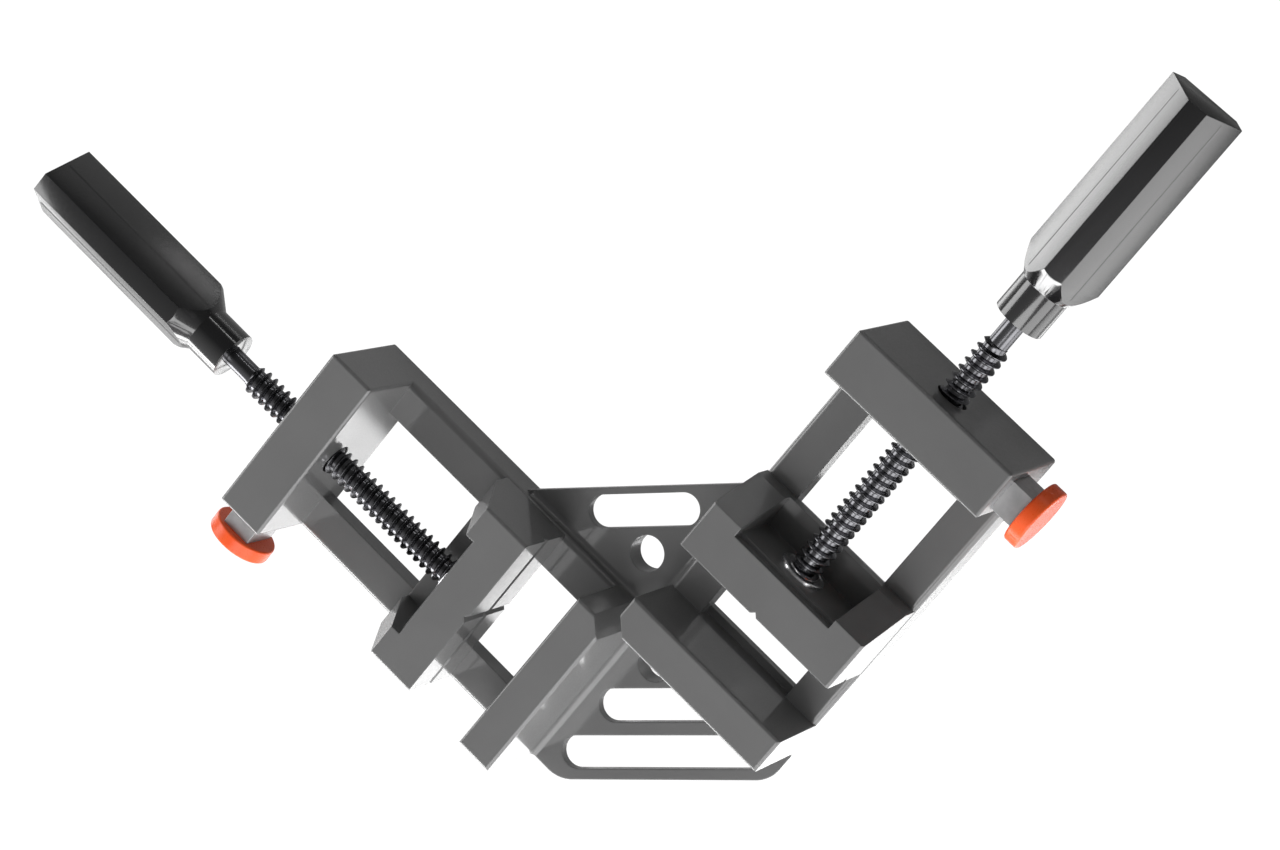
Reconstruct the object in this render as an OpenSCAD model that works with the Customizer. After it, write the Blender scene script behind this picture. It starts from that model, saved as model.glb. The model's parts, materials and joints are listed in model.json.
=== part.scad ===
// Double-spindle 90 degree corner clamp.
// The inside corner of the two clamping faces is the origin, on the underside of the base.
// The right arm runs along +X, the left arm along +Y, and each arm is the other's mirror image.

/* [Frame casting] */
// Length of the jaws and end bars across each arm
arm_w = 76; // [66:1:90]
// Distance from the inside corner to each spindle's axis
arm_axis = 54; // [50:0.5:60]
// Height of the jaws and end bars above the bench
body_h = 50; // [46:1:60]
// Clear length from the fixed clamping face to the end bar
reach = 112.5; // [104:0.5:150]
// Thickness of the end bar along the arm
bar_t = 21; // [20:0.5:28]
// Thickness of the fixed jaw
fixed_jaw_t = 15.5; // [12:0.5:20]
// Width of each guide rail
rail_w = 15.5; // [13:0.5:18]
// Height of the guide rails
rail_h = 15.5; // [14:0.5:18]
// Rounding of the rails' outer top edges
rail_round = 2.5; // [1:0.25:4]
// Rounding of the casting's other edges
edge_round = 1.2; // [0.4:0.1:2]
// Half of the gap between the two fixed jaws' bevelled ends
corner_gap = 5.2; // [4:0.1:7]

/* [Base plate] */
// Thickness of the base plate
plate_t = 4; // [3:0.5:8]
// Height of the plate's underside above the bench
plate_lift = 6; // [2:0.5:7]
// Diameter of the bosses that carry the round holes down to the bench
boss_d = 18; // [16:0.5:18.5]
// Radius of the fillets where the rails and the fixed jaws rise from the plate
junction_r = 2.5; // [1:0.25:3.5]
// Distance from the inside corner to the plate's inner edge, along the middle line
plate_front = 25.3; // [24:0.1:28]
// Distance from the inside corner to the plate's outer edge, along the middle line
plate_back = 86.4; // [85:0.1:92]
// Radius of the plate's outer corners
plate_corner = 14; // [6:1:18]
// How far the plate reaches into each window, past the fixed clamping face
plate_ledge = 3.2; // [1:0.1:5]
// Diameter of the two round holes
hole_d = 14; // [8:0.5:14.5]
// Distance of the second round hole from the inside corner
hole_pitch = 42; // [38:0.5:44]
// Width of the three bolt slots
slot_w = 12.8; // [8:0.2:13.4]
// Half length of the inner, middle and outer slots, ends included
slot_half = [22.8, 24.3, 41.2]; // [16:0.1:42]
// Place of the inner, middle and outer slots on the middle line
slot_at = [16.3, -57.8, -75.8]; // [-77:0.1:17]

/* [Moving jaw] */
// Opening between the clamping faces as drawn
opening = 27.5; // [5:0.5:45]
// Thickness of the jaw plate at the spindle
jaw_plate_t = 18.5; // [16:0.5:20]
// Set-back of the lip along the top of the pocket
jaw_lip = 1.6; // [0.8:0.1:2.4]
// Depth of that lip
jaw_lip_h = 4.5; // [2:0.5:8]
// Distance from the clamping face to the top of the wings' slope
jaw_top_t = 21; // [20.5:0.5:24]
// Overall length of the jaw along the arm
jaw_len = 32; // [30:0.5:32]
// Height of the wings' rear ends above the bench
wing_h = 25; // [22:0.5:32]
// Width of each wing
wing_w = 14; // [11:0.5:15]
// Thickness of the pocket's floor
jaw_floor_t = 4.5; // [3:0.5:7]
// Width of the crossing workpiece grooves
groove_w = 3.2; // [2:0.1:5]
// Running clearance of the jaw on and between the rails
jaw_gap = 0.3; // [0.15:0.05:0.5]

/* [Keeper] */
// Thickness of the keeper plate under the rails
keeper_t = 3.2; // [2:0.2:4]
// Length of the keeper along the arm
keeper_len = 24; // [18:1:26]
// How far the keeper reaches under each rail
keeper_lap = 6; // [4:0.5:7]
// Running clearance of the keeper under the rails
keeper_gap = 0.3; // [0.15:0.05:0.5]
// Clearance of the tongue and the keeper at the fixed jaw and beside the rebate
end_gap = 0.8; // [0.5:0.1:1.5]
// Depth of the rebate under the rails
rebate_h = 6.5; // [5:0.5:8]
// Thread diameter of the keeper's screws
screw_d = 4; // [3:0.5:5]
// Distance between the two keeper screws
screw_pitch = 26; // [20:1:30]
// Length of the screws' thread in the jaw
screw_grip = 7; // [5:0.5:8]

/* [Spindle] */
// Height of the spindle's axis above the bench
spindle_z = 32.3; // [29:0.1:36]
// Outside diameter of the spindle's thread
spindle_d = 12; // [10:0.5:13]
// Diameter of the journal that turns in the jaw
journal_d = 9; // [7:0.5:9.5]
// Depth of the journal's bore in the jaw
journal_len = 12; // [9:0.5:13]
// Diameter of the plain neck before the handle
neck_d = 8; // [6:0.5:9]
// Length of the plain neck
neck_len = 11.5; // [6:0.5:16]
// Length of the spindle's thread
thread_len = 112; // [100:1:125]
// Diameter of the thrust washer
washer_d = 19; // [15:0.5:21]
// Thickness of the thrust washer
washer_t = 1.5; // [1:0.1:2.5]
// Diameter of the pin that holds the journal in the jaw
pin_d = 3; // [2:0.5:3.5]
// Clearance of that pin in the journal's groove, and of the journal at the bore's end
pin_gap = 0.25; // [0.15:0.05:0.5]
// Running clearance of round fits, on the radius
fit = 0.08; // [0.05:0.01:0.1]
// Clearance of the thread in the end bar, on the radius
bar_gap = 0.5; // [0.3:0.1:1]

/* [Handle] */
// Width of the grip's three wide faces
grip_wide = 23.5; // [18:0.5:28]
// Width of the grip's three narrow faces
grip_narrow = 8; // [4:0.5:12]
// Length of the grip's full section
grip_len = 77.5; // [50:0.5:110]
// Length of the cone that turns the grip into the collar
shoulder_len = 9; // [5:0.5:16]
// Diameter of the collar
collar_d = 20; // [16:0.5:22]
// Length of the collar
collar_len = 15; // [8:0.5:20]
// Depth of the spindle's socket in the handle
socket_len = 45; // [25:1:60]
// Turn of the right handle from a narrow face straight up
handle_turn_right = 7.5; // [-180:0.5:180]
// Turn of the left handle from a narrow face straight up
handle_turn_left = -3.5; // [-180:0.5:180]

/* [Release] */
// Width of the release slider along the arm
slider_w = 13; // [12.5:0.5:14]
// Height of the release slider
slider_h = 18.5; // [16:0.5:20]
// Length of the slider inside the bar, from the bar's end
slider_len = 53; // [50:1:58]
// How far the slider stands out of the bar
stem_out = 9.5; // [7:0.5:14]
// Travel of the release button
press = 5; // [3:0.5:6]
// Clearance round the slider
slider_gap = 0.25; // [0.1:0.05:0.4]
// Clearance of the half nut on the thread
nut_gap = 0.15; // [0.1:0.05:0.3]
// Diameter of the button
button_d = 26.5; // [20:0.5:30]
// Thickness of the button
button_t = 6; // [4:0.5:8]
// Rounding of the button's rim
button_round = 0.8; // [0.5:0.1:2.4]
// Diameter of the peg that carries the button
peg_d = 7; // [5:0.5:9]
// Thickness of the button's face over the peg
button_face = 2; // [1.5:0.5:3]
// Outside diameter of the return spring
spring_d = 9; // [7:0.5:11]
// Diameter of the spring's wire
wire_d = 1.1; // [0.8:0.1:1.4]
// Length of the spring as drawn
spring_len = 17; // [14:0.5:18]
// Turns of the spring
spring_turns = 6; // [4:1:8]
// Clearance round the return spring
spring_gap = 0.4; // [0.2:0.1:0.8]
// Diameter of the slider's stop pin
stop_d = 4; // [3:0.5:5]
// Distance from the bar's end to the stop pin
stop_inset = 12; // [10:0.5:16]
// How far the stop pin reaches into the slider
stop_reach = 5; // [3:0.5:5.5]
// Clearance of the stop pin in the slider's slot
stop_gap = 0.3; // [0.1:0.05:0.5]

/* [Hidden] */
$fn = 64;
tiny = 0.01;
half_w = arm_w / 2;
window_half = half_w - rail_w;
bar_end = reach + bar_t;
frame_colour = "#6b6b6b";
steel_colour = "#26272a";
zinc_colour = "#b9bcc0";

// Casting
diagonal = sqrt(2);
jaw_end_t = arm_axis - half_w - corner_gap * diagonal;
chamfer_t = fixed_jaw_t - jaw_end_t;
plate_side = half_w + arm_axis;
plate_cut = plate_back * diagonal;
corner_run = plate_corner * tan(22.5);
corner_blend = 0.02;
plate_top = plate_lift + plate_t;
rebate_w = keeper_lap + end_gap;

// Jaw, measured from its own clamping face
jaw_base_z = rail_h;
pocket_half = half_w - wing_w;
tongue_half = window_half - jaw_gap;
tongue_z = rebate_h - keeper_gap;
keeper_z = tongue_z - keeper_t;
keeper_x = (jaw_len - keeper_len) / 2;
screw_x = jaw_len / 2;
tongue_x = plate_ledge + end_gap;
head_d = screw_d * 1.9;
head_h = screw_d * 0.5;
groove_depth = groove_w / 2;
groove_z = spindle_z;

// Spindle, measured from the jaw's clamping face
journal_x = jaw_plate_t - journal_len;
collar_face = jaw_plate_t + washer_t;
thread_end = collar_face + thread_len;
neck_end = thread_end + neck_len;
pin_x = journal_x + journal_len * 0.5;
pin_y = journal_d / 2;
pin_top = spindle_z + journal_d / 2 + pin_d;
pin_foot = tongue_z + 0.5;
pin_groove = pin_d + 2 * pin_gap;

// Handle
grip_side = grip_wide + 2 * grip_narrow;
grip_corner = sqrt(pow(grip_wide / 2, 2) + pow(grip_side / (2 * sqrt(3)), 2));
collar_end = neck_end + collar_len;
grip_start = collar_end + shoulder_len;
grip_end = grip_start + grip_len;
cone_slope = (grip_corner - collar_d / 2) / shoulder_len;

// Release, measured from the middle of the end bar, the button towards -Y
slider_end = slider_len - half_w;
slider_room = press + 2 * slider_gap;
half_nut_r = spindle_d / 2 + nut_gap;
stop_y = -half_w + stop_inset;
stop_top = spindle_z - slider_h / 2 + stop_reach;
stop_slot = stop_d + 2 * stop_gap;
button_y = -half_w - stem_out;

// Places its child on the right arm, with the arm's centre line at y = 0
module right_arm() {
    translate([0, -arm_axis, 0]) children();
}

// Places its child on the left arm, the right one's mirror image
module left_arm() {
    mirror([1, -1, 0]) right_arm() children();
}

// Rectangle from the origin with rounded corners
module round_rect(w, h, r) {
    translate([r, 0]) square([w - 2 * r, h]);
    translate([0, r]) square([w, h - 2 * r]);
    for (x = [r, w - r], y = [r, h - r])
        translate([x, y]) circle(r);
}

// Rectangle on the X axis whose two upper corners are rounded
module top_round_rect(w, h, r) {
    square([w, h - r]);
    translate([r, 0]) square([w - 2 * r, h]);
    for (x = [r, w - r])
        translate([x, h - r]) circle(r);
}

// Extrudes a profile, drawn in X and Z, along Y from y0 by len
module along_y(y0, len) {
    translate([0, y0 + len, 0]) rotate([90, 0, 0]) linear_extrude(len) children();
}

// Extrudes a profile, drawn in Y and Z, along X from x0 by len
module along_x(x0, len) {
    translate([x0, 0, 0]) rotate([90, 0, 90]) linear_extrude(len) children();
}

// Shaft along X
module rod(x0, x1, d) {
    translate([x0, 0, 0]) rotate([0, 90, 0]) cylinder(h = x1 - x0, d = d);
}

// Block with its upright and upper edges rounded
module cast_block(x0, y0, size, r) {
    intersection() {
        translate([x0, y0, 0]) linear_extrude(size[2]) round_rect(size[0], size[1], r);
        along_y(y0 - tiny, size[1] + 2 * tiny) translate([x0, 0]) top_round_rect(size[0], size[2], r);
        along_x(x0 - tiny, size[0] + 2 * tiny) translate([y0, 0]) top_round_rect(size[1], size[2], r);
    }
}

// One rail's section: outer top edge rounded, keeper's rebate along the inner underside
module rail_section() {
    difference() {
        union() {
            square([rail_w, rail_h - rail_round]);
            square([rail_w - rail_round, rail_h]);
            translate([rail_w - rail_round, rail_h - rail_round]) circle(rail_round);
        }
        translate([-1, -1]) square([rebate_w + 1, rebate_h + 1]);
    }
}

module rails() {
    for (side = [0, 1])
        mirror([0, side, 0])
            along_x(-1, reach + 2) translate([window_half, 0]) rail_section();
}

// Fixed jaw, with its end at the inside corner cut square and then bevelled
module fixed_jaw() {
    intersection() {
        linear_extrude(body_h) polygon([
            [0, half_w], [-jaw_end_t, half_w], [-fixed_jaw_t, half_w - chamfer_t],
            [-fixed_jaw_t, -half_w], [0, -half_w]
        ]);
        along_y(-half_w - 1, arm_w + 2)
            translate([-fixed_jaw_t, 0]) top_round_rect(fixed_jaw_t, body_h, edge_round);
        along_x(-fixed_jaw_t - 1, fixed_jaw_t + 2)
            translate([-half_w, 0]) top_round_rect(arm_w, body_h, edge_round);
    }
}

// Room in the end bar for the spindle, the slider, its spring and its stop pin
module end_bar_cuts() {
    translate([0, 0, spindle_z]) rod(reach - 1, bar_end + 1, spindle_d + 2 * bar_gap);
    translate([reach + bar_t / 2, 0, spindle_z]) {
        translate([-slider_w / 2 - slider_gap, -half_w - 1, -slider_h / 2 - slider_gap])
            cube([
                slider_w + 2 * slider_gap, half_w + 1 + slider_end + slider_room,
                slider_h + 2 * slider_gap
            ]);
        translate([0, slider_end, 0])
            rotate([-90, 0, 0]) cylinder(h = spring_len, d = spring_d + 2 * spring_gap);
    }
    translate([reach + bar_t / 2, stop_y, -1]) cylinder(h = spindle_z, d = stop_d);
}

// Slot with round ends across the middle line
module slot(half) {
    square([slot_w, 2 * half - slot_w], center = true);
    for (side = [-1, 1])
        translate([0, side * (half - slot_w / 2)]) circle(d = slot_w);
}

// What is cut off one of the plate's outer corners, seen from its centre, over an eighth of a turn
module plate_corner_cut() {
    reach_out = 2 * plate_corner;
    difference() {
        polygon([[0, 0], [reach_out, 0], [reach_out, reach_out]]);
        circle(plate_corner + corner_blend);
    }
}

// Outline of the plate's outer part: square to the arms, cut across, with two round corners
module plate_back_outline() {
    side = -plate_side;
    turn = -plate_cut + plate_side;
    difference() {
        polygon([
            [plate_ledge, plate_ledge], [side, plate_ledge], [side, turn],
            [turn, side], [plate_ledge, side]
        ]);
        translate([side + plate_corner, turn + corner_run]) rotate(180) plate_corner_cut();
        translate([turn + corner_run, side + plate_corner]) rotate(225) plate_corner_cut();
    }
}

// Base plate, lifted off the bench, with bosses under its round holes
module base_plate() {
    inner_back = diagonal * (arm_axis - half_w + rail_w / 4);
    inner_half = plate_front + inner_back;
    difference() {
        union() {
            translate([0, 0, plate_lift]) linear_extrude(plate_t) {
                plate_back_outline();
                rotate(45)
                    polygon([[plate_front, inner_half], [-inner_back, 0], [plate_front, -inner_half]]);
            }
            rotate(45) for (x = [0, -hole_pitch])
                translate([x, 0, 0]) cylinder(h = plate_lift + 1, d = boss_d);
        }
        translate([0, 0, -1]) linear_extrude(plate_top + 2) rotate(45) {
            circle(d = hole_d);
            translate([-hole_pitch, 0]) circle(d = hole_d);
            for (i = [0:2])
                translate([slot_at[i], 0]) slot(slot_half[i]);
        }
    }
}

// Concave fillet along X, between an upright face at y = 0 and the plate's top at z = 0
module junction(len) {
    along_x(0, len) difference() {
        translate([-1, -1]) square(junction_r + 1);
        translate([junction_r, junction_r]) circle(junction_r + corner_blend);
    }
}

// Fillets along the inner rail and the fixed jaw's back
module junctions() {
    rail_run = plate_front * diagonal + arm_axis - half_w - junction_r;
    translate([-jaw_end_t, half_w, plate_top]) junction(jaw_end_t + rail_run);
    translate([-fixed_jaw_t, -half_w, plate_top]) rotate(90) junction(arm_w - chamfer_t);
}

module arm_casting() {
    rails();
    fixed_jaw();
    junctions();
    cast_block(reach, -half_w, [bar_t, arm_w, body_h], edge_round);
}

module body_casting() {
    color(frame_colour) difference() {
        union() {
            base_plate();
            right_arm() arm_casting();
            left_arm() arm_casting();
        }
        right_arm() end_bar_cuts();
        left_arm() end_bar_cuts();
    }
}

// Side outline of the moving jaw: upright plate, sloping wings
module jaw_side_outline() {
    polygon([
        [0, jaw_base_z + tiny], [jaw_len, jaw_base_z + tiny], [jaw_len, wing_h],
        [jaw_top_t, body_h], [0, body_h]
    ]);
}

// Crossing V grooves that hold round stock on the clamping face
module jaw_grooves() {
    along_y(-half_w - 1, arm_w + 2)
        polygon([[-tiny, groove_z - groove_w / 2], [groove_depth, groove_z], [-tiny, groove_z + groove_w / 2]]);
    translate([0, 0, jaw_base_z - 1]) linear_extrude(body_h)
        polygon([[-tiny, -groove_w / 2], [groove_depth, 0], [-tiny, groove_w / 2]]);
}

module jaw_solid() {
    difference() {
        intersection() {
            along_y(-half_w, arm_w) jaw_side_outline();
            along_x(-1, jaw_len + 2) translate([-half_w, 0]) top_round_rect(arm_w, body_h, edge_round);
        }
        translate([jaw_plate_t, -pocket_half, jaw_base_z + jaw_floor_t])
            cube([jaw_len, 2 * pocket_half, body_h]);
        translate([jaw_plate_t - jaw_lip, -pocket_half, body_h - jaw_lip_h])
            cube([jaw_len, 2 * pocket_half, body_h]);
        jaw_grooves();
    }
    translate([tongue_x, -tongue_half, tongue_z])
        cube([jaw_len - 2 * tongue_x, 2 * tongue_half, jaw_base_z - tongue_z + 1]);
}

module moving_jaw() {
    color(frame_colour) translate([opening, 0, 0]) difference() {
        jaw_solid();
        translate([0, 0, spindle_z]) rod(journal_x, jaw_plate_t + 1, journal_d + 2 * fit);
        translate([pin_x, pin_y, tongue_z - 1]) cylinder(h = pin_top - tongue_z + 1, d = pin_d);
        for (side = [-1, 1])
            translate([screw_x, side * screw_pitch / 2, tongue_z - 1])
                cylinder(h = screw_grip + 2, d = screw_d);
    }
}

module jaw_keeper() {
    color(zinc_colour) translate([opening, 0, keeper_z]) difference() {
        translate([keeper_x, -window_half - keeper_lap, 0])
            linear_extrude(keeper_t) round_rect(keeper_len, 2 * (window_half + keeper_lap), 2);
        for (side = [-1, 1])
            translate([screw_x, side * screw_pitch / 2, -1]) cylinder(h = keeper_t + 2, d = screw_d);
    }
}

// Two pan-head screws through the keeper into the jaw's tongue
module keeper_screws() {
    color(zinc_colour) for (side = [-1, 1])
        translate([opening + screw_x, side * screw_pitch / 2, 0]) {
            translate([0, 0, keeper_z - head_h]) difference() {
                cylinder(h = head_h, d = head_d);
                translate([0, 0, -1]) cylinder(h = 1 + head_h * 0.6, d = screw_d * 0.6, $fn = 6);
            }
            translate([0, 0, keeper_z - tiny]) cylinder(h = keeper_t + screw_grip, d = screw_d);
        }
}

module spindle() {
    color(steel_colour) translate([opening, 0, spindle_z]) difference() {
        union() {
            rod(journal_x + pin_gap, collar_face, journal_d);
            rod(collar_face, thread_end, spindle_d);
            rod(thread_end, neck_end + socket_len, neck_d);
        }
        translate([pin_x, 0, 0]) rotate([0, 90, 0]) translate([0, 0, -pin_groove / 2])
            rotate_extrude() translate([journal_d / 2 - pin_groove / 2, 0]) square([pin_groove, pin_groove]);
    }
}

module thrust_washer() {
    color("#d9dbde") translate([opening, 0, spindle_z]) difference() {
        rod(jaw_plate_t, jaw_plate_t + washer_t, washer_d);
        rod(jaw_plate_t - 1, jaw_plate_t + washer_t + 1, journal_d + 2 * fit);
    }
}

module journal_pin() {
    color(zinc_colour) translate([opening + pin_x, pin_y, pin_foot])
        cylinder(h = pin_top - pin_foot, d = pin_d);
}

// Six-sided grip section: a triangle with its corners cut off
module grip_section() {
    intersection() {
        circle(r = grip_side / sqrt(3), $fn = 3);
        rotate(60) circle(r = 2 * grip_side / sqrt(3) - grip_narrow * sqrt(3), $fn = 3);
    }
}

// Plastic handle: six-sided grip, cut to a cone at the collar
module handle(turn) {
    color("#2a2a2c") translate([opening, 0, spindle_z]) difference() {
        union() {
            rod(neck_end, grip_start, collar_d);
            intersection() {
                translate([collar_end - tiny, 0, 0]) rotate([0, 90, 0])
                    rotate(180 + turn) linear_extrude(grip_end - collar_end) grip_section();
                rotate([0, 90, 0]) rotate_extrude() polygon([
                    [0, collar_end - 1], [collar_d / 2, collar_end - 1], [collar_d / 2, collar_end],
                    [grip_corner + 1, grip_start + 1 / cone_slope],
                    [grip_corner + 1, grip_end + 1], [0, grip_end + 1]
                ]);
            }
        }
        rod(neck_end - 1, neck_end + socket_len, neck_d);
    }
}

// Sliding half nut: a bar with an oblong hole round the spindle and a peg for the button
module release_slider() {
    color("#a8a8a8") translate([reach + bar_t / 2, 0, spindle_z]) difference() {
        union() {
            translate([-slider_w / 2, button_y, -slider_h / 2])
                cube([slider_w, slider_len + stem_out, slider_h]);
            translate([0, button_y + tiny, 0])
                rotate([90, 0, 0]) cylinder(h = button_t - button_face, d = peg_d);
        }
        for (shift = [0, press])
            translate([0, -shift, 0]) rod(-slider_w, slider_w, 2 * half_nut_r);
        translate([-slider_w, -press, -half_nut_r]) cube([2 * slider_w, press, 2 * half_nut_r]);
        for (shift = [0, press])
            translate([0, stop_y - shift, -slider_h]) cylinder(h = slider_h, d = stop_slot);
        translate([-stop_slot / 2, stop_y - press, -slider_h]) cube([stop_slot, press, slider_h]);
    }
}

// Round push button with a rounded rim
module release_button() {
    color("#ff5a20") translate([reach + bar_t / 2, button_y, spindle_z]) rotate([90, 0, 0]) difference() {
        rotate_extrude() {
            square([button_d / 2 - button_round, button_t]);
            translate([0, button_round]) square([button_d / 2, button_t - 2 * button_round]);
            for (z = [button_round, button_t - button_round])
                translate([button_d / 2 - button_round, z]) circle(button_round);
        }
        translate([0, 0, -1]) cylinder(h = 1 + button_t - button_face, d = peg_d);
    }
}

// Points of a ring of the spring's wire, at angle a along the coil
function coil_ring(a, r, rise, sides) = [
    for (i = [0:sides - 1])
        let (b = 360 * i / sides, q = r + wire_d / 2 * cos(b))
            [q * cos(a), q * sin(a), rise + wire_d / 2 * sin(b)]
];

// Compression spring along Z, swept along its helix
module coil_spring(len) {
    sides = 6;
    steps = spring_turns * 14;
    radius = (spring_d - wire_d) / 2;
    climb = len - wire_d;
    points = [
        for (k = [0:steps])
            each coil_ring(360 * spring_turns * k / steps, radius, wire_d / 2 + climb * k / steps, sides)
    ];
    walls = [
        for (k = [0:steps - 1], i = [0:sides - 1])
            [k * sides + i, (k + 1) * sides + i, (k + 1) * sides + (i + 1) % sides, k * sides + (i + 1) % sides]
    ];
    caps = [[for (i = [0:sides - 1]) i], [for (i = [sides - 1:-1:0]) steps * sides + i]];
    polyhedron(points, concat(walls, caps));
}

module return_spring() {
    color(zinc_colour) translate([reach + bar_t / 2, slider_end, spindle_z])
        rotate([-90, 0, 0]) coil_spring(spring_len);
}

// Pin pressed into the bar's underside that keeps the slider in
module stop_pin() {
    color(zinc_colour) translate([reach + bar_t / 2, stop_y, 1])
        cylinder(h = stop_top - 1, d = stop_d);
}

body_casting();
right_arm() moving_jaw();  // right_moving_jaw
right_arm() jaw_keeper();  // right_jaw_keeper
right_arm() keeper_screws();  // right_keeper_screws
right_arm() spindle();  // right_spindle
right_arm() thrust_washer();  // right_thrust_washer
right_arm() journal_pin();  // right_journal_pin
right_arm() handle(handle_turn_right);  // right_handle
right_arm() release_slider();  // right_release_slider
right_arm() release_button();  // right_release_button
right_arm() return_spring();  // right_return_spring
right_arm() stop_pin();  // right_stop_pin
left_arm() moving_jaw();  // left_moving_jaw
left_arm() jaw_keeper();  // left_jaw_keeper
left_arm() keeper_screws();  // left_keeper_screws
left_arm() spindle();  // left_spindle
left_arm() thrust_washer();  // left_thrust_washer
left_arm() journal_pin();  // left_journal_pin
left_arm() handle(handle_turn_left);  // left_handle
left_arm() release_slider();  // left_release_slider
left_arm() release_button();  // left_release_button
left_arm() return_spring();  // left_return_spring
left_arm() stop_pin();  // left_stop_pin
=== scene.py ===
"""Looks of the corner clamp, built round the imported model."""

import json
import math

import bmesh
import bpy
from mathutils import Matrix, Vector


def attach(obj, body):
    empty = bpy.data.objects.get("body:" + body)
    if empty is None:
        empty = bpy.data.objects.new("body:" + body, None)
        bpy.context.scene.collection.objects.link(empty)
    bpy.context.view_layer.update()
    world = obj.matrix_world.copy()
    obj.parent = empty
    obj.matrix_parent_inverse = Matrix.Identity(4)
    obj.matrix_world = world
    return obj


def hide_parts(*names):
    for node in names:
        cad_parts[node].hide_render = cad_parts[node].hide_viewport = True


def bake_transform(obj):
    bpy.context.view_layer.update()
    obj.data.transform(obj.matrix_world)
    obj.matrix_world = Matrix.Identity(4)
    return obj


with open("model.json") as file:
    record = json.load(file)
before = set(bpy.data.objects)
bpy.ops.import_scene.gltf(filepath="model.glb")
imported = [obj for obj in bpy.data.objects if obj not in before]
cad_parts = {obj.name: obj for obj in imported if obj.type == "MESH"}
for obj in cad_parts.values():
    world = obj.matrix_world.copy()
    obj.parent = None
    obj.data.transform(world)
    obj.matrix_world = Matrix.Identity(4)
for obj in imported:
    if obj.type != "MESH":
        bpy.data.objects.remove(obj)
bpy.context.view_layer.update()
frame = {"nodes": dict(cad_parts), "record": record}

MM = 0.001
SIDES = ("right", "left")
BODY_OF = {n: b for b, nodes in frame["record"]["behaviour"]["bodies"].items() for n in nodes}

# Sizes of the clamp in mm, as the solids have them. Arm-local x runs out from the fixed clamping face.
ARM_AXIS = 54.0
SPINDLE_Z = 32.3
OPENING = 27.5
THREAD_D = 12.0
THREAD_START = OPENING + 20.0
THREAD_END = OPENING + 132.0
JOURNAL_D = 9.0
JOURNAL_START = OPENING + 6.75
GROOVE_X = OPENING + 12.5
GROOVE_W = 3.5
NECK_D = 8.0
NECK_LEN = 11.5
SOCKET_LEN = 45.0
SOCKET_END = THREAD_END + NECK_LEN + SOCKET_LEN
WASHER_D = 19.0
WASHER_BORE = 9.16
WASHER_START = OPENING + 18.5
WASHER_END = WASHER_START + 1.5

# Thread of the spindles in mm: its crests have softened corners. It is begun a lead early and cut back to its start.
THREAD_PITCH = 3.5
THREAD_DEPTH = 1.75
THREAD_CREST = 0.56
THREAD_SOFT = 0.12
THREAD_FLANK = math.radians(25)
THREAD_LEAD = 1.4 * THREAD_PITCH
THREAD_STEPS = 48
THREAD_WELD = 1e-3

# Turned pieces, in mm. The washer's rims are given as depth under its face and distance from the outer or inner edge.
JOURNAL_CHAMFER = 0.6
JOURNAL_LAP = 1.0
SPINDLE_STEPS = 48
WASHER_OUTER_RIM = ((0.7, 0), (0.2, 0.2), (0, 0.7), (0, 1.0), (0.4, 1.4))
WASHER_INNER_RIM = ((0.4, 1.4), (0, 1.0), (0, 0.6), (0.2, 0.15), (0.6, 0))
WASHER_STEPS = 64
TURNED_WELD = 1e-4

# Grips, in metres: rounded edges, and the mould's parting lines on the wide faces
GRIP_ROUND = 0.7 * MM
GRIP_SEGMENTS = 3
GRIP_HARD = math.radians(20)
WIDE_FACE = 1200 * MM ** 2
SQUARE_TO_AXIS = 0.01
LINE_WIDTH, LINE_DEPTH, LINE_RISE = 0.9 * MM, 0.4 * MM, 0.1 * MM
LINE_INSET_START, LINE_INSET_END = 2 * MM, 1.5 * MM

# Meshes taken over from the solids, and the angle over which an edge is drawn sharp
COPY_WELD = 2e-6
FLAT = math.radians(0.6)
SHARP = math.radians(32)

# White floor. The camera sees it white, and gloss surfaces mirror a fainter white with painted light that fades out
# towards +X. All other light meets a satin sheet with painted shade: it darkens along +X, where the clamp's shade
# falls.
FLOOR_SIZE = 6
FLOOR_DROP = 0.0004
FLOOR_GLOW = 1.15
FLOOR_PAINTED_SHADE_SPAN = (0.26, -0.05)
FLOOR_PAINTED_SHADE_TONES = (0.1, 0.9)
FLOOR_GLOSS = 0.8
SHEEN_TONE = 0.9
SHEEN_ROUGH = 0.22
SEEN_WHITE = 0.9
MIRRORED_WHITE = 0.16

# Name, place, point aimed at, size and watts of each lamp, in metres
SOFTBOXES = (
    ("key_softbox", (-0.65, -0.5, 1.2), (0, 0, 0), (0.75, 0.75), 6.2),
    ("front_softbox", (-0.4, -1.18, 0.5), (0.05, -0.05, 0.03), (1.7, 0.8), 11.5),
    ("side_softbox", (-1.3, 0.0, 0.2), (0, 0, 0.03), (1.4, 0.3), 12),
    ("rim_strip", (1.55, 0.41, 0.55), (0.05, 0, 0.03), (0.9, 0.05), 0.9),
    ("back_softbox", (-0.25, 1.07, 0.55), (0.1, 0, 0.03), (1.2, 0.56), 7.5),
)

# Room round the clamp: a grey that brightens towards one side
BRIGHT_SIDE = (-0.95, -0.3, 0.05)
ROOM_TONES = (0.06, 0.45)
ROOM_SPAN = (0.4, 0.95)
ROOM_STRENGTH = 1.3

# The photograph's camera, from the fit to the clamp's corners
CAMERA_SENSOR = 36.0
CAMERA_LENS = 106.514
CAMERA_CLIP = 50
CAMERA_PLACE = (0.515331, -0.297152, 1.307658)
CAMERA_RIGHT = Vector((0.598347, -0.694916, -0.398839))
CAMERA_BACK = Vector((0.33773, -0.232655, 0.912036))


def arm_point(side, x, y, z):
    """A point of an arm, in mm from the fixed clamping face and the arm's middle line, in the row frame."""
    if side == "right":
        return Vector((x, y - ARM_AXIS, z)) * MM
    return Vector((y - ARM_AXIS, x, z)) * MM


# Materials


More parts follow.
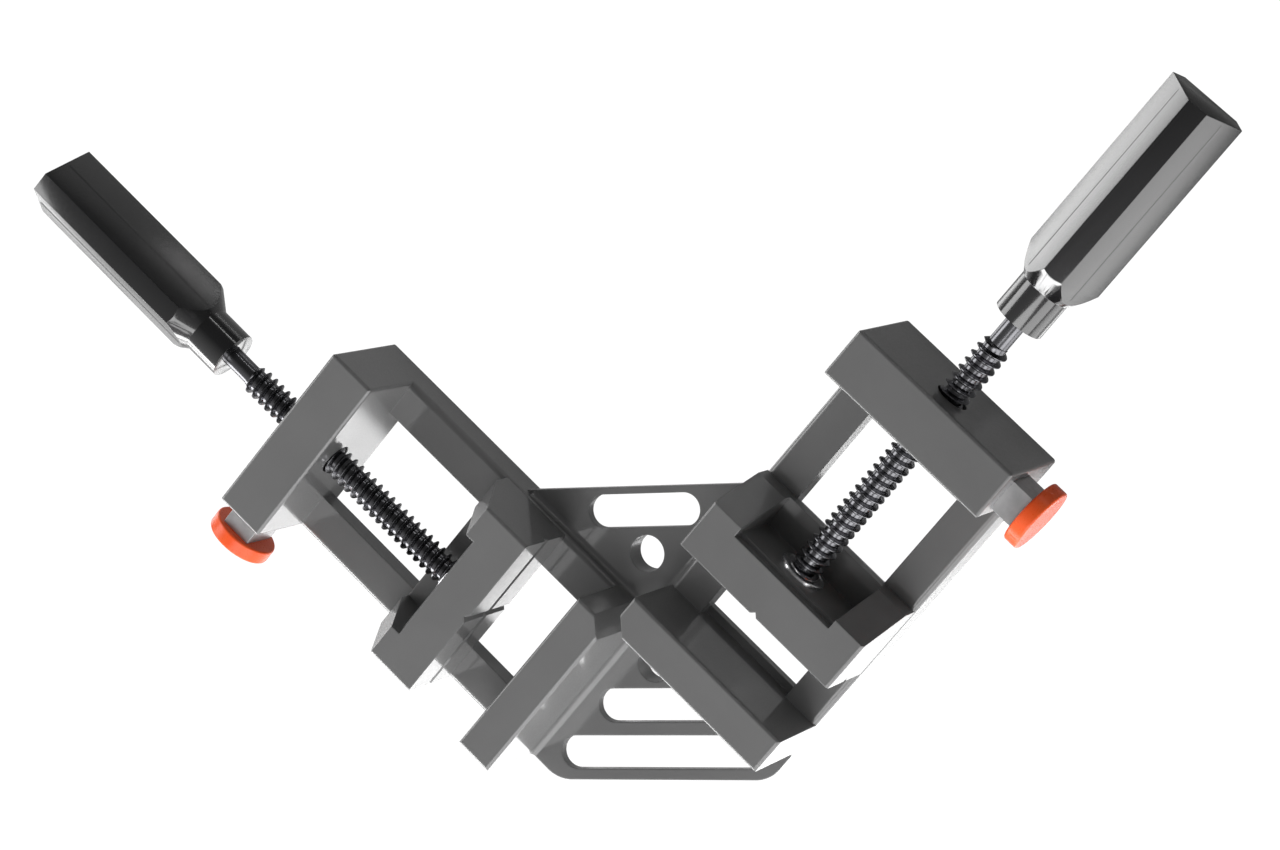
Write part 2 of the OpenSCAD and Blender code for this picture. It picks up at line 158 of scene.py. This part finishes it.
def srgb(code):
    """Linear colour of an sRGB hex code."""
    out = []
    for i in (1, 3, 5):
        v = int(code[i:i + 2], 16) / 255
        out.append(v / 12.92 if v <= 0.04045 else ((v + 0.055) / 1.055) ** 2.4)
    return (*out, 1.0)


def grey(value):
    """Linear grey of one value."""
    return (value, value, value, 1.0)


def add_node(tree, kind, inputs=None, **values):
    """A new shader node: values set properties or inputs by name, inputs take other nodes' outputs or values."""
    made = tree.nodes.new(kind)
    for key, value in values.items():
        name = key.replace("_", " ").title()
        if name in made.inputs:
            made.inputs[name].default_value = value
        else:
            setattr(made, key, value)
    for name, value in (inputs or {}).items():
        if isinstance(value, bpy.types.NodeSocket):
            tree.links.new(value, made.inputs[name])
        else:
            made.inputs[name].default_value = value
    return made


def ramp(tree, fac, low, high, at=(0.3, 0.7)):
    """A two-colour ramp."""
    made = add_node(tree, "ShaderNodeValToRGB", {"Fac": fac})
    made.color_ramp.elements[0].position = at[0]
    made.color_ramp.elements[0].color = low
    made.color_ramp.elements[1].position = at[1]
    made.color_ramp.elements[1].color = high
    return made.outputs["Color"]


def material(name, colours, roughs, patch_mm, grain_mm, relief_mm, edge_mm, **shader):
    """A procedural material: two colours mixed in patches, a roughness band, fine relief and softened edges."""
    made = bpy.data.materials.new(name)
    made.use_nodes = True
    tree = made.node_tree
    bsdf = tree.nodes["Principled BSDF"]
    for key, value in shader.items():
        bsdf.inputs[key.replace("_", " ")].default_value = value
    coords = add_node(tree, "ShaderNodeTexCoord").outputs["Object"]
    patches = add_node(tree, "ShaderNodeTexNoise", {"Vector": coords}, scale=1 / (patch_mm * MM), detail=4.0)
    grain = add_node(tree, "ShaderNodeTexNoise", {"Vector": coords}, scale=1 / (grain_mm * MM), detail=2.0)
    colour = ramp(tree, patches.outputs["Fac"], srgb(colours[0]), srgb(colours[1]))
    rough = ramp(tree, grain.outputs["Fac"], grey(roughs[0]), grey(roughs[1]))
    bump = add_node(tree, "ShaderNodeBump", {"Height": grain.outputs["Fac"]}, strength=1.0, distance=relief_mm * MM)
    if edge_mm:
        edge = add_node(tree, "ShaderNodeBevel", samples=6, radius=edge_mm * MM)
        tree.links.new(edge.outputs["Normal"], bump.inputs["Normal"])
    tree.links.new(colour, bsdf.inputs["Base Color"])
    tree.links.new(rough, bsdf.inputs["Roughness"])
    tree.links.new(bump.outputs["Normal"], bsdf.inputs["Normal"])
    return made


# Semi-gloss grey paint sprayed on an aluminium casting: an even mid grey with a faint orange peel
PAINT = material("painted_die_casting", colours=("#656565", "#6b6b6b"), roughs=(0.38, 0.46), patch_mm=30,
                 grain_mm=0.9, relief_mm=0.008, edge_mm=0.8, Coat_Weight=1.0, Coat_Roughness=0.1)
# Rolled trapezoidal thread, blackened in oil: dark, with small sharp glints
BLACK_STEEL = material("black_oxide_steel", colours=("#68686b", "#747477"), roughs=(0.2, 0.24), patch_mm=12,
                       grain_mm=0.8, relief_mm=0.0004, edge_mm=0, Metallic=1.0)
# Zinc on turned and pressed steel: light, slightly blue, softly shiny
ZINC = material("zinc_plated_steel", colours=("#c4c7cc", "#d8dade"), roughs=(0.22, 0.32), patch_mm=4,
                grain_mm=0.3, relief_mm=0.004, edge_mm=0.25, Metallic=1.0)
# Bright zinc plate on the thrust washers: nearly white where a rim catches a lamp
BRIGHT_ZINC = material("bright_zinc_plate", colours=("#ececee", "#f4f4f5"), roughs=(0.22, 0.28), patch_mm=4,
                       grain_mm=0.3, relief_mm=0.001, edge_mm=0.1, Metallic=1.0)
# Moulded plastic of the grips: gloss black that mirrors the lamps clearly
GRIP = material("moulded_gloss_black_plastic", colours=("#151516", "#1b1b1c"), roughs=(0.14, 0.18), patch_mm=20,
                grain_mm=1.5, relief_mm=0.0006, edge_mm=0.2, Specular_IOR_Level=0.65, Coat_Weight=1.0,
                Coat_Roughness=0.09)
# Bare zinc alloy of the release sliders, as cast: a dull light grey
ALLOY = material("bare_zinc_alloy_casting", colours=("#a8a8a9", "#bcbcbd"), roughs=(0.34, 0.46), patch_mm=5,
                 grain_mm=0.5, relief_mm=0.01, edge_mm=0.4, Metallic=0.6)
# Moulded plastic of the buttons: a strong, glossy orange
ORANGE = material("moulded_gloss_orange_plastic", colours=("#ff5a26", "#ff6832"), roughs=(0.26, 0.34), patch_mm=8,
                  grain_mm=0.7, relief_mm=0.004, edge_mm=0.3, Specular_IOR_Level=0.35)

NODE_LOOK = {
    "moving_jaw": PAINT, "jaw_keeper": ZINC, "keeper_screws": ZINC, "spindle": BLACK_STEEL,
    "thrust_washer": BRIGHT_ZINC, "journal_pin": ZINC, "handle": GRIP, "release_slider": ALLOY,
    "release_button": ORANGE, "return_spring": ZINC, "stop_pin": ZINC,
}


def node_look(name):
    """The material of a node: those of the two arms differ only by the side in front of their names."""
    return PAINT if name == "body_casting" else NODE_LOOK[name.split("_", 1)[1]]


for name, obj in frame["nodes"].items():
    obj.data.materials.clear()
    obj.data.materials.append(node_look(name))


# Pieces


def face_out(bm):
    """Turns the faces of a closed shell outwards."""
    bmesh.ops.recalc_face_normals(bm, faces=bm.faces)
    if bm.calc_volume(signed=True) < 0:
        bmesh.ops.reverse_faces(bm, faces=bm.faces)


def new_piece(name, bm, node):
    """Makes an object from a bmesh, smooth but for its sharp edges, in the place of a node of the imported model."""
    for face in bm.faces:
        face.smooth = True
    for edge in bm.edges:
        edge.smooth = edge.is_manifold and edge.calc_face_angle(math.pi) < SHARP
    mesh = bpy.data.meshes.new(name)
    bm.to_mesh(mesh)
    bm.free()
    mesh.materials.append(node_look(node))
    obj = bpy.data.objects.new(name, mesh)
    bpy.context.scene.collection.objects.link(obj)
    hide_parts(node)
    return obj


def add_piece(name, bm, node):
    """Makes a piece that moves with its node's body."""
    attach(new_piece(name, bm, node), BODY_OF[node])


def chain(bm, points):
    """Vertices at the (x, radius) points and the edges that join them in turn."""
    verts = [bm.verts.new((x, r, 0)) for x, r in points]
    return verts + [bm.edges.new(pair) for pair in zip(verts, verts[1:])]


def revolve(bm, profile, steps):
    """A closed solid of revolution about x from its (x, radius) profile, a loop or with both ends on the axis."""
    bmesh.ops.spin(bm, geom=chain(bm, profile), cent=(0, 0, 0), axis=(1, 0, 0), angle=math.tau, steps=steps,
                   use_merge=True)
    bmesh.ops.remove_doubles(bm, verts=bm.verts, dist=TURNED_WELD)


def add_thread(bm, start, end, hand):
    """A trapezoidal thread along x, cut square at its ends, with a chamfered outer end."""
    crest, root = THREAD_D / 2, THREAD_D / 2 - THREAD_DEPTH
    flank = THREAD_DEPTH * math.tan(THREAD_FLANK)
    section = [(0, crest - THREAD_SOFT), (THREAD_SOFT, crest), (THREAD_CREST - THREAD_SOFT, crest),
               (THREAD_CREST, crest - THREAD_SOFT), (THREAD_CREST + flank, root), (THREAD_PITCH - flank, root),
               (THREAD_PITCH, crest - THREAD_SOFT)]
    lead = start - THREAD_LEAD
    bmesh.ops.spin(bm, geom=chain(bm, [(lead + x, r) for x, r in section]), cent=(0, 0, 0), axis=(1, 0, 0),
                   dvec=(THREAD_PITCH / THREAD_STEPS, 0, 0), angle=hand * math.tau, steps=THREAD_STEPS)
    turn = bm.verts[:] + bm.edges[:] + bm.faces[:]
    for count in range(1, math.ceil((end - lead) / THREAD_PITCH)):
        copy = bmesh.ops.duplicate(bm, geom=turn)["geom"]
        moved = [part for part in copy if isinstance(part, bmesh.types.BMVert)]
        bmesh.ops.translate(bm, verts=moved, vec=(count * THREAD_PITCH, 0, 0))
    bmesh.ops.remove_doubles(bm, verts=bm.verts, dist=THREAD_WELD)
    for vert in bm.verts:
        radius = math.hypot(vert.co.y, vert.co.z)
        share = min(radius, max(root, root + end - vert.co.x)) / radius
        vert.co.y, vert.co.z = vert.co.y * share, vert.co.z * share
    for place, normal in ((start, (-1, 0, 0)), (end, (1, 0, 0))):
        everything = bm.verts[:] + bm.edges[:] + bm.faces[:]
        bmesh.ops.bisect_plane(bm, geom=everything, plane_co=(place, 0, 0), plane_no=normal, clear_outer=True)
        rim = [e for e in bm.edges if e.is_boundary and all(abs(v.co.x - place) < THREAD_WELD for v in e.verts)]
        bmesh.ops.holes_fill(bm, edges=rim, sides=0)


def to_arm(bm, side):
    """Moves what was made about the spindle's axis, in mm, to its arm."""
    for vert in bm.verts:
        vert.co = arm_point(side, vert.co.x, vert.co.y, vert.co.z + SPINDLE_Z)
    face_out(bm)


def spindle(side):
    """Threaded spindle with its journal, pin groove and neck. Its thread is right-hand on both arms: the left one is
    made with the other hand, because to_arm mirrors it."""
    bm = bmesh.new()
    neck, journal, root = NECK_D / 2, JOURNAL_D / 2, JOURNAL_D / 2 - GROOVE_W / 2
    low, high = GROOVE_X - GROOVE_W / 2, GROOVE_X + GROOVE_W / 2
    step = THREAD_START + JOURNAL_LAP
    revolve(bm, [(JOURNAL_START, 0), (JOURNAL_START, journal - JOURNAL_CHAMFER),
                 (JOURNAL_START + JOURNAL_CHAMFER, journal), (low, journal), (low, root), (high, root),
                 (high, journal), (step, journal), (step, neck), (SOCKET_END, neck), (SOCKET_END, 0)], SPINDLE_STEPS)
    to_arm(bm, side)
    threads = bmesh.new()
    add_thread(threads, THREAD_START, THREAD_END, 1 if side == "right" else -1)
    to_arm(threads, side)
    mesh = bpy.data.meshes.new("threads")
    threads.to_mesh(mesh)
    threads.free()
    bm.from_mesh(mesh)
    bpy.data.meshes.remove(mesh)
    add_piece(f"{side}_threaded_spindle", bm, f"{side}_spindle")


def merged_copy(node):
    """A copy of a node's mesh with its flat faces whole."""
    bm = bmesh.new()
    bm.from_mesh(frame["nodes"][node].data)
    bmesh.ops.remove_doubles(bm, verts=bm.verts, dist=COPY_WELD)
    bmesh.ops.dissolve_limit(bm, angle_limit=FLAT, verts=bm.verts, edges=bm.edges)
    return bm


def parting_lines(bm, side):
    """The frames of the faint raised lines down the grip's wide faces, where the mould closes."""
    along = Vector((1, 0, 0)) if side == "right" else Vector((0, 1, 0))
    lines = []
    for face in bm.faces:
        if face.calc_area() < WIDE_FACE or abs(face.normal.dot(along)) > SQUARE_TO_AXIS:
            continue
        across = face.normal.cross(along)
        runs = [v.co.dot(along) for v in face.verts]
        sides = [v.co.dot(across) for v in face.verts]
        start, end = min(runs) + LINE_INSET_START, max(runs) - LINE_INSET_END
        middle = along * (start + end) / 2 + across * (min(sides) + max(sides)) / 2
        middle += face.normal * (face.verts[0].co.dot(face.normal) - LINE_DEPTH / 2 + LINE_RISE)
        turn = Matrix((along * (end - start), across * LINE_WIDTH, face.normal * LINE_DEPTH)).transposed()
        lines.append(Matrix.Translation(middle) @ turn.to_4x4())
    return lines


def handle(side):
    """Six-sided grip with rounded edges and parting lines."""
    node = f"{side}_handle"
    bm = merged_copy(node)
    lines = parting_lines(bm, side)
    hard = [e for e in bm.edges if e.is_manifold and e.calc_face_angle(0) > GRIP_HARD]
    bmesh.ops.bevel(bm, geom=hard, offset=GRIP_ROUND, segments=GRIP_SEGMENTS, profile=0.5, affect="EDGES",
                    material=-1, clamp_overlap=True)
    for line in lines:
        bmesh.ops.create_cube(bm, size=1, matrix=line)
    face_out(bm)
    add_piece(f"{side}_grip", bm, node)


def washer(side):
    """Thrust washer with two rounded rims and a shallow track between them."""
    bore, rim = WASHER_BORE / 2, WASHER_D / 2
    outer = [(WASHER_END - depth, rim - inset) for depth, inset in WASHER_OUTER_RIM]
    inner = [(WASHER_END - depth, bore + inset) for depth, inset in WASHER_INNER_RIM]
    bm = bmesh.new()
    revolve(bm, [(WASHER_START, bore), (WASHER_START, rim), *outer, *inner, (WASHER_START, bore)], WASHER_STEPS)
    to_arm(bm, side)
    add_piece(f"{side}_rimmed_washer", bm, f"{side}_thrust_washer")


def spring(side):
    """Return spring, whose last coil sits on the slider and first in the end bar. The copy is baked in place and
    attached to no body.
    """
    node = f"{side}_return_spring"
    obj = new_piece(f"{side}_coil_spring", merged_copy(node), node)
    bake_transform(obj)


for side in SIDES:
    spindle(side)
    handle(side)
    washer(side)
    spring(side)


# Studio


def floor_look():
    """The floor's material: white to the camera, a faint white in reflections with painted light fading out towards
    +X, a satin sheet with painted shade darkening towards +X to all other light.
    """
    made = bpy.data.materials.new("white_floor_with_painted_shade")
    made.use_nodes = True
    tree = made.node_tree
    tree.nodes.clear()
    coords = add_node(tree, "ShaderNodeTexCoord").outputs["Object"]
    place = add_node(tree, "ShaderNodeSeparateXYZ", {"Vector": coords}).outputs["X"]
    # Painted light and shade on the floor: a mask that is 1 on the -X side and falls to 0 along +X
    painted_lit_mask = add_node(tree, "ShaderNodeMapRange", {"Value": place}, from_min=FLOOR_PAINTED_SHADE_SPAN[0],
                   from_max=FLOOR_PAINTED_SHADE_SPAN[1]).outputs[0]
    # Painted shade: the floor's colour goes from light to dark along +X
    painted_shade_tone = ramp(tree, painted_lit_mask, grey(FLOOR_PAINTED_SHADE_TONES[0]), grey(FLOOR_PAINTED_SHADE_TONES[1]), (0, 1))

    def maths(operation, first, second):
        return add_node(tree, "ShaderNodeMath", {0: first, 1: second}, operation=operation).outputs[0]

    path = add_node(tree, "ShaderNodeLightPath").outputs
    direct = maths("MULTIPLY", maths("MAXIMUM", path["Is Camera Ray"], path["Is Transmission Ray"]), SEEN_WHITE)
    # Painted light in reflections: the mirrored white fades out towards +X with the mask
    mirrored_painted_light = maths("MULTIPLY", maths("MULTIPLY", path["Is Glossy Ray"], painted_lit_mask), MIRRORED_WHITE)
    share = maths("MAXIMUM", direct, mirrored_painted_light)
    matt = add_node(tree, "ShaderNodeBsdfDiffuse", {"Color": painted_shade_tone}).outputs[0]
    sheen = add_node(tree, "ShaderNodeBsdfGlossy", color=grey(SHEEN_TONE), roughness=SHEEN_ROUGH).outputs[0]
    paper = add_node(tree, "ShaderNodeMixShader", {0: FLOOR_GLOSS, 1: matt, 2: sheen}).outputs[0]
    white = add_node(tree, "ShaderNodeEmission", color=grey(1.0), strength=FLOOR_GLOW).outputs[0]
    mix = add_node(tree, "ShaderNodeMixShader", {0: share, 1: paper, 2: white}).outputs[0]
    add_node(tree, "ShaderNodeOutputMaterial", {"Surface": mix})
    return made


def stage_floor():
    """The white floor, just under the clamp."""
    bm = bmesh.new()
    bmesh.ops.create_grid(bm, x_segments=1, y_segments=1, size=FLOOR_SIZE)
    mesh = bpy.data.meshes.new("floor")
    bm.to_mesh(mesh)
    bm.free()
    obj = bpy.data.objects.new("floor", mesh)
    obj.location.z = -FLOOR_DROP
    bpy.context.scene.collection.objects.link(obj)
    mesh.materials.append(floor_look())


def softbox(name, place, target, size, power):
    """A rectangular lamp aimed at a point."""
    data = bpy.data.lights.new(name, "AREA")
    data.shape = "RECTANGLE"
    data.size, data.size_y = size
    data.energy = power
    obj = bpy.data.objects.new(name, data)
    obj.location = place
    obj.rotation_euler = (Vector(target) - Vector(place)).to_track_quat("-Z", "Y").to_euler()
    bpy.context.scene.collection.objects.link(obj)


def room():
    """The world: white to the camera, a one-sided soft grey to everything else."""
    world = bpy.context.scene.world or bpy.data.worlds.new("studio")
    bpy.context.scene.world = world
    world.use_nodes = True
    tree = world.node_tree
    tree.nodes.clear()
    coords = add_node(tree, "ShaderNodeTexCoord").outputs["Generated"]
    facing = add_node(tree, "ShaderNodeVectorMath", {0: coords, 1: BRIGHT_SIDE}, operation="DOT_PRODUCT")
    share = add_node(tree, "ShaderNodeMapRange", {"Value": facing.outputs["Value"]}, from_min=-1.0, from_max=1.0)
    glow = ramp(tree, share.outputs[0], grey(ROOM_TONES[0]), grey(ROOM_TONES[1]), ROOM_SPAN)
    seen = add_node(tree, "ShaderNodeLightPath").outputs["Is Camera Ray"]
    mix = add_node(tree, "ShaderNodeMix", {"Factor": seen, 6: glow, 7: grey(1.0)}, data_type="RGBA")
    back = add_node(tree, "ShaderNodeBackground", {"Color": mix.outputs[2]}, strength=ROOM_STRENGTH)
    add_node(tree, "ShaderNodeOutputWorld", {"Surface": back.outputs[0]})


def camera():
    """The photograph's view."""
    data = bpy.data.cameras.new("camera")
    data.sensor_fit = "HORIZONTAL"
    data.sensor_width = CAMERA_SENSOR
    data.lens = CAMERA_LENS
    data.clip_end = CAMERA_CLIP
    obj = bpy.data.objects.new("camera", data)
    up = CAMERA_BACK.cross(CAMERA_RIGHT)
    turn = Matrix((CAMERA_RIGHT, up, CAMERA_BACK)).transposed().to_4x4()
    obj.matrix_world = Matrix.Translation(CAMERA_PLACE) @ turn
    bpy.context.scene.collection.objects.link(obj)
    bpy.context.scene.camera = obj


stage_floor()
for lamp in SOFTBOXES:
    softbox(*lamp)
room()
camera()
bpy.context.scene.view_settings.view_transform = "Standard"
